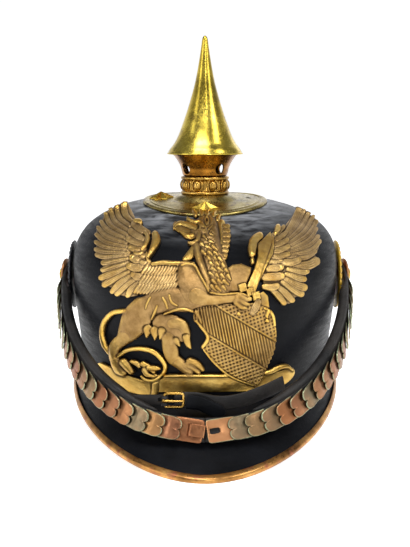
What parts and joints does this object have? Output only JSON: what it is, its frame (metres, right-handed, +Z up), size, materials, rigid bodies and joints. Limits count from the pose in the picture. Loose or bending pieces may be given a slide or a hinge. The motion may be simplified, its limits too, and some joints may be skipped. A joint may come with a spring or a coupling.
{
  "type": "spiked leather helmet",
  "caption": "Lacquered leather helmet with a screwed metal spike, a griffin plate, cockades, scaled chin straps that swing on side bolts, a small buckle, a visor with trim and a lined inside.",
  "frame": {"origin": "on the surface that the helmet stands on, under the spike's axis", "axes": "+Z up along the spike, -Y to the front, where the visor is, +X to the left of the wearer"},
  "size_m": [0.2062, 0.3033, 0.2535],
  "materials": {
    "lacquered_leather": "gloss lacquer",
    "bare_leather": "matt",
    "brass": "polished",
    "frosted_brass": "frosted",
    "bronze": "aged",
    "copper": "tarnished",
    "steel": "dull",
    "cockade_gold": "satin",
    "cockade_black": "satin",
    "silk": "woven"
  },
  "bodies": {
    "root": {"skull": "lacquered_leather", "front_visor": "lacquered_leather", "visor_trim": "bronze", "neck_guard": "lacquered_leather", "rear_spine": "brass", "spine_screws": "brass", "spine_nuts": "steel", "base_plate": "brass", "star_studs": "brass", "star_stud_nuts": "steel", "spike_neck": "copper", "pearl_ring": "bronze", "spike_socket": "steel", "helmet_plate": "frosted_brass", "plate_studs": "brass", "plate_nuts": "steel", "cockade_left": "cockade_black", "cockade_right": "cockade_gold", "side_bolts": "brass", "side_nuts": "steel", "sweatband": "bare_leather", "silk_lining": "silk"},
    "spike": {"spike": "brass", "spike_screw": "steel"},
    "chinscales": {"rosette_left": "copper", "rosette_right": "copper", "strap_left": "lacquered_leather", "strap_right": "lacquered_leather", "scales_left": "copper", "scales_right": "copper", "hook_plate": "copper", "slot_plate": "copper", "strap_tongue": "lacquered_leather", "strap_tip": "lacquered_leather", "buckle_strap": "lacquered_leather"},
    "buckle_frame": {"buckle_frame": "brass"},
    "buckle_prong": {"buckle_prong": "brass"}
  },
  "joints": [
    {"name": "spike_lift", "type": "slide", "parent": "root", "child": "spike", "axis": [0, 0, 1], "range_m": [0, 0.035]},
    {"name": "chinscale_swing", "type": "hinge", "parent": "root", "child": "chinscales", "pos_m": [0, 0, 0.09], "axis": [-1, 0, 0], "range_deg": [0, 60]},
    {"name": "buckle_swing", "type": "hinge", "parent": "chinscales", "child": "buckle_frame", "pos_m": [-0.0234, -0.1137, 0.03475], "axis": [0, 0, -1], "range_deg": [0, 60]},
    {"name": "prong_swing", "type": "hinge", "parent": "buckle_frame", "child": "buckle_prong", "pos_m": [-0.0234, -0.1137, 0.03475], "axis": [0, 0, -1], "range_deg": [0, 60]}
  ]
}
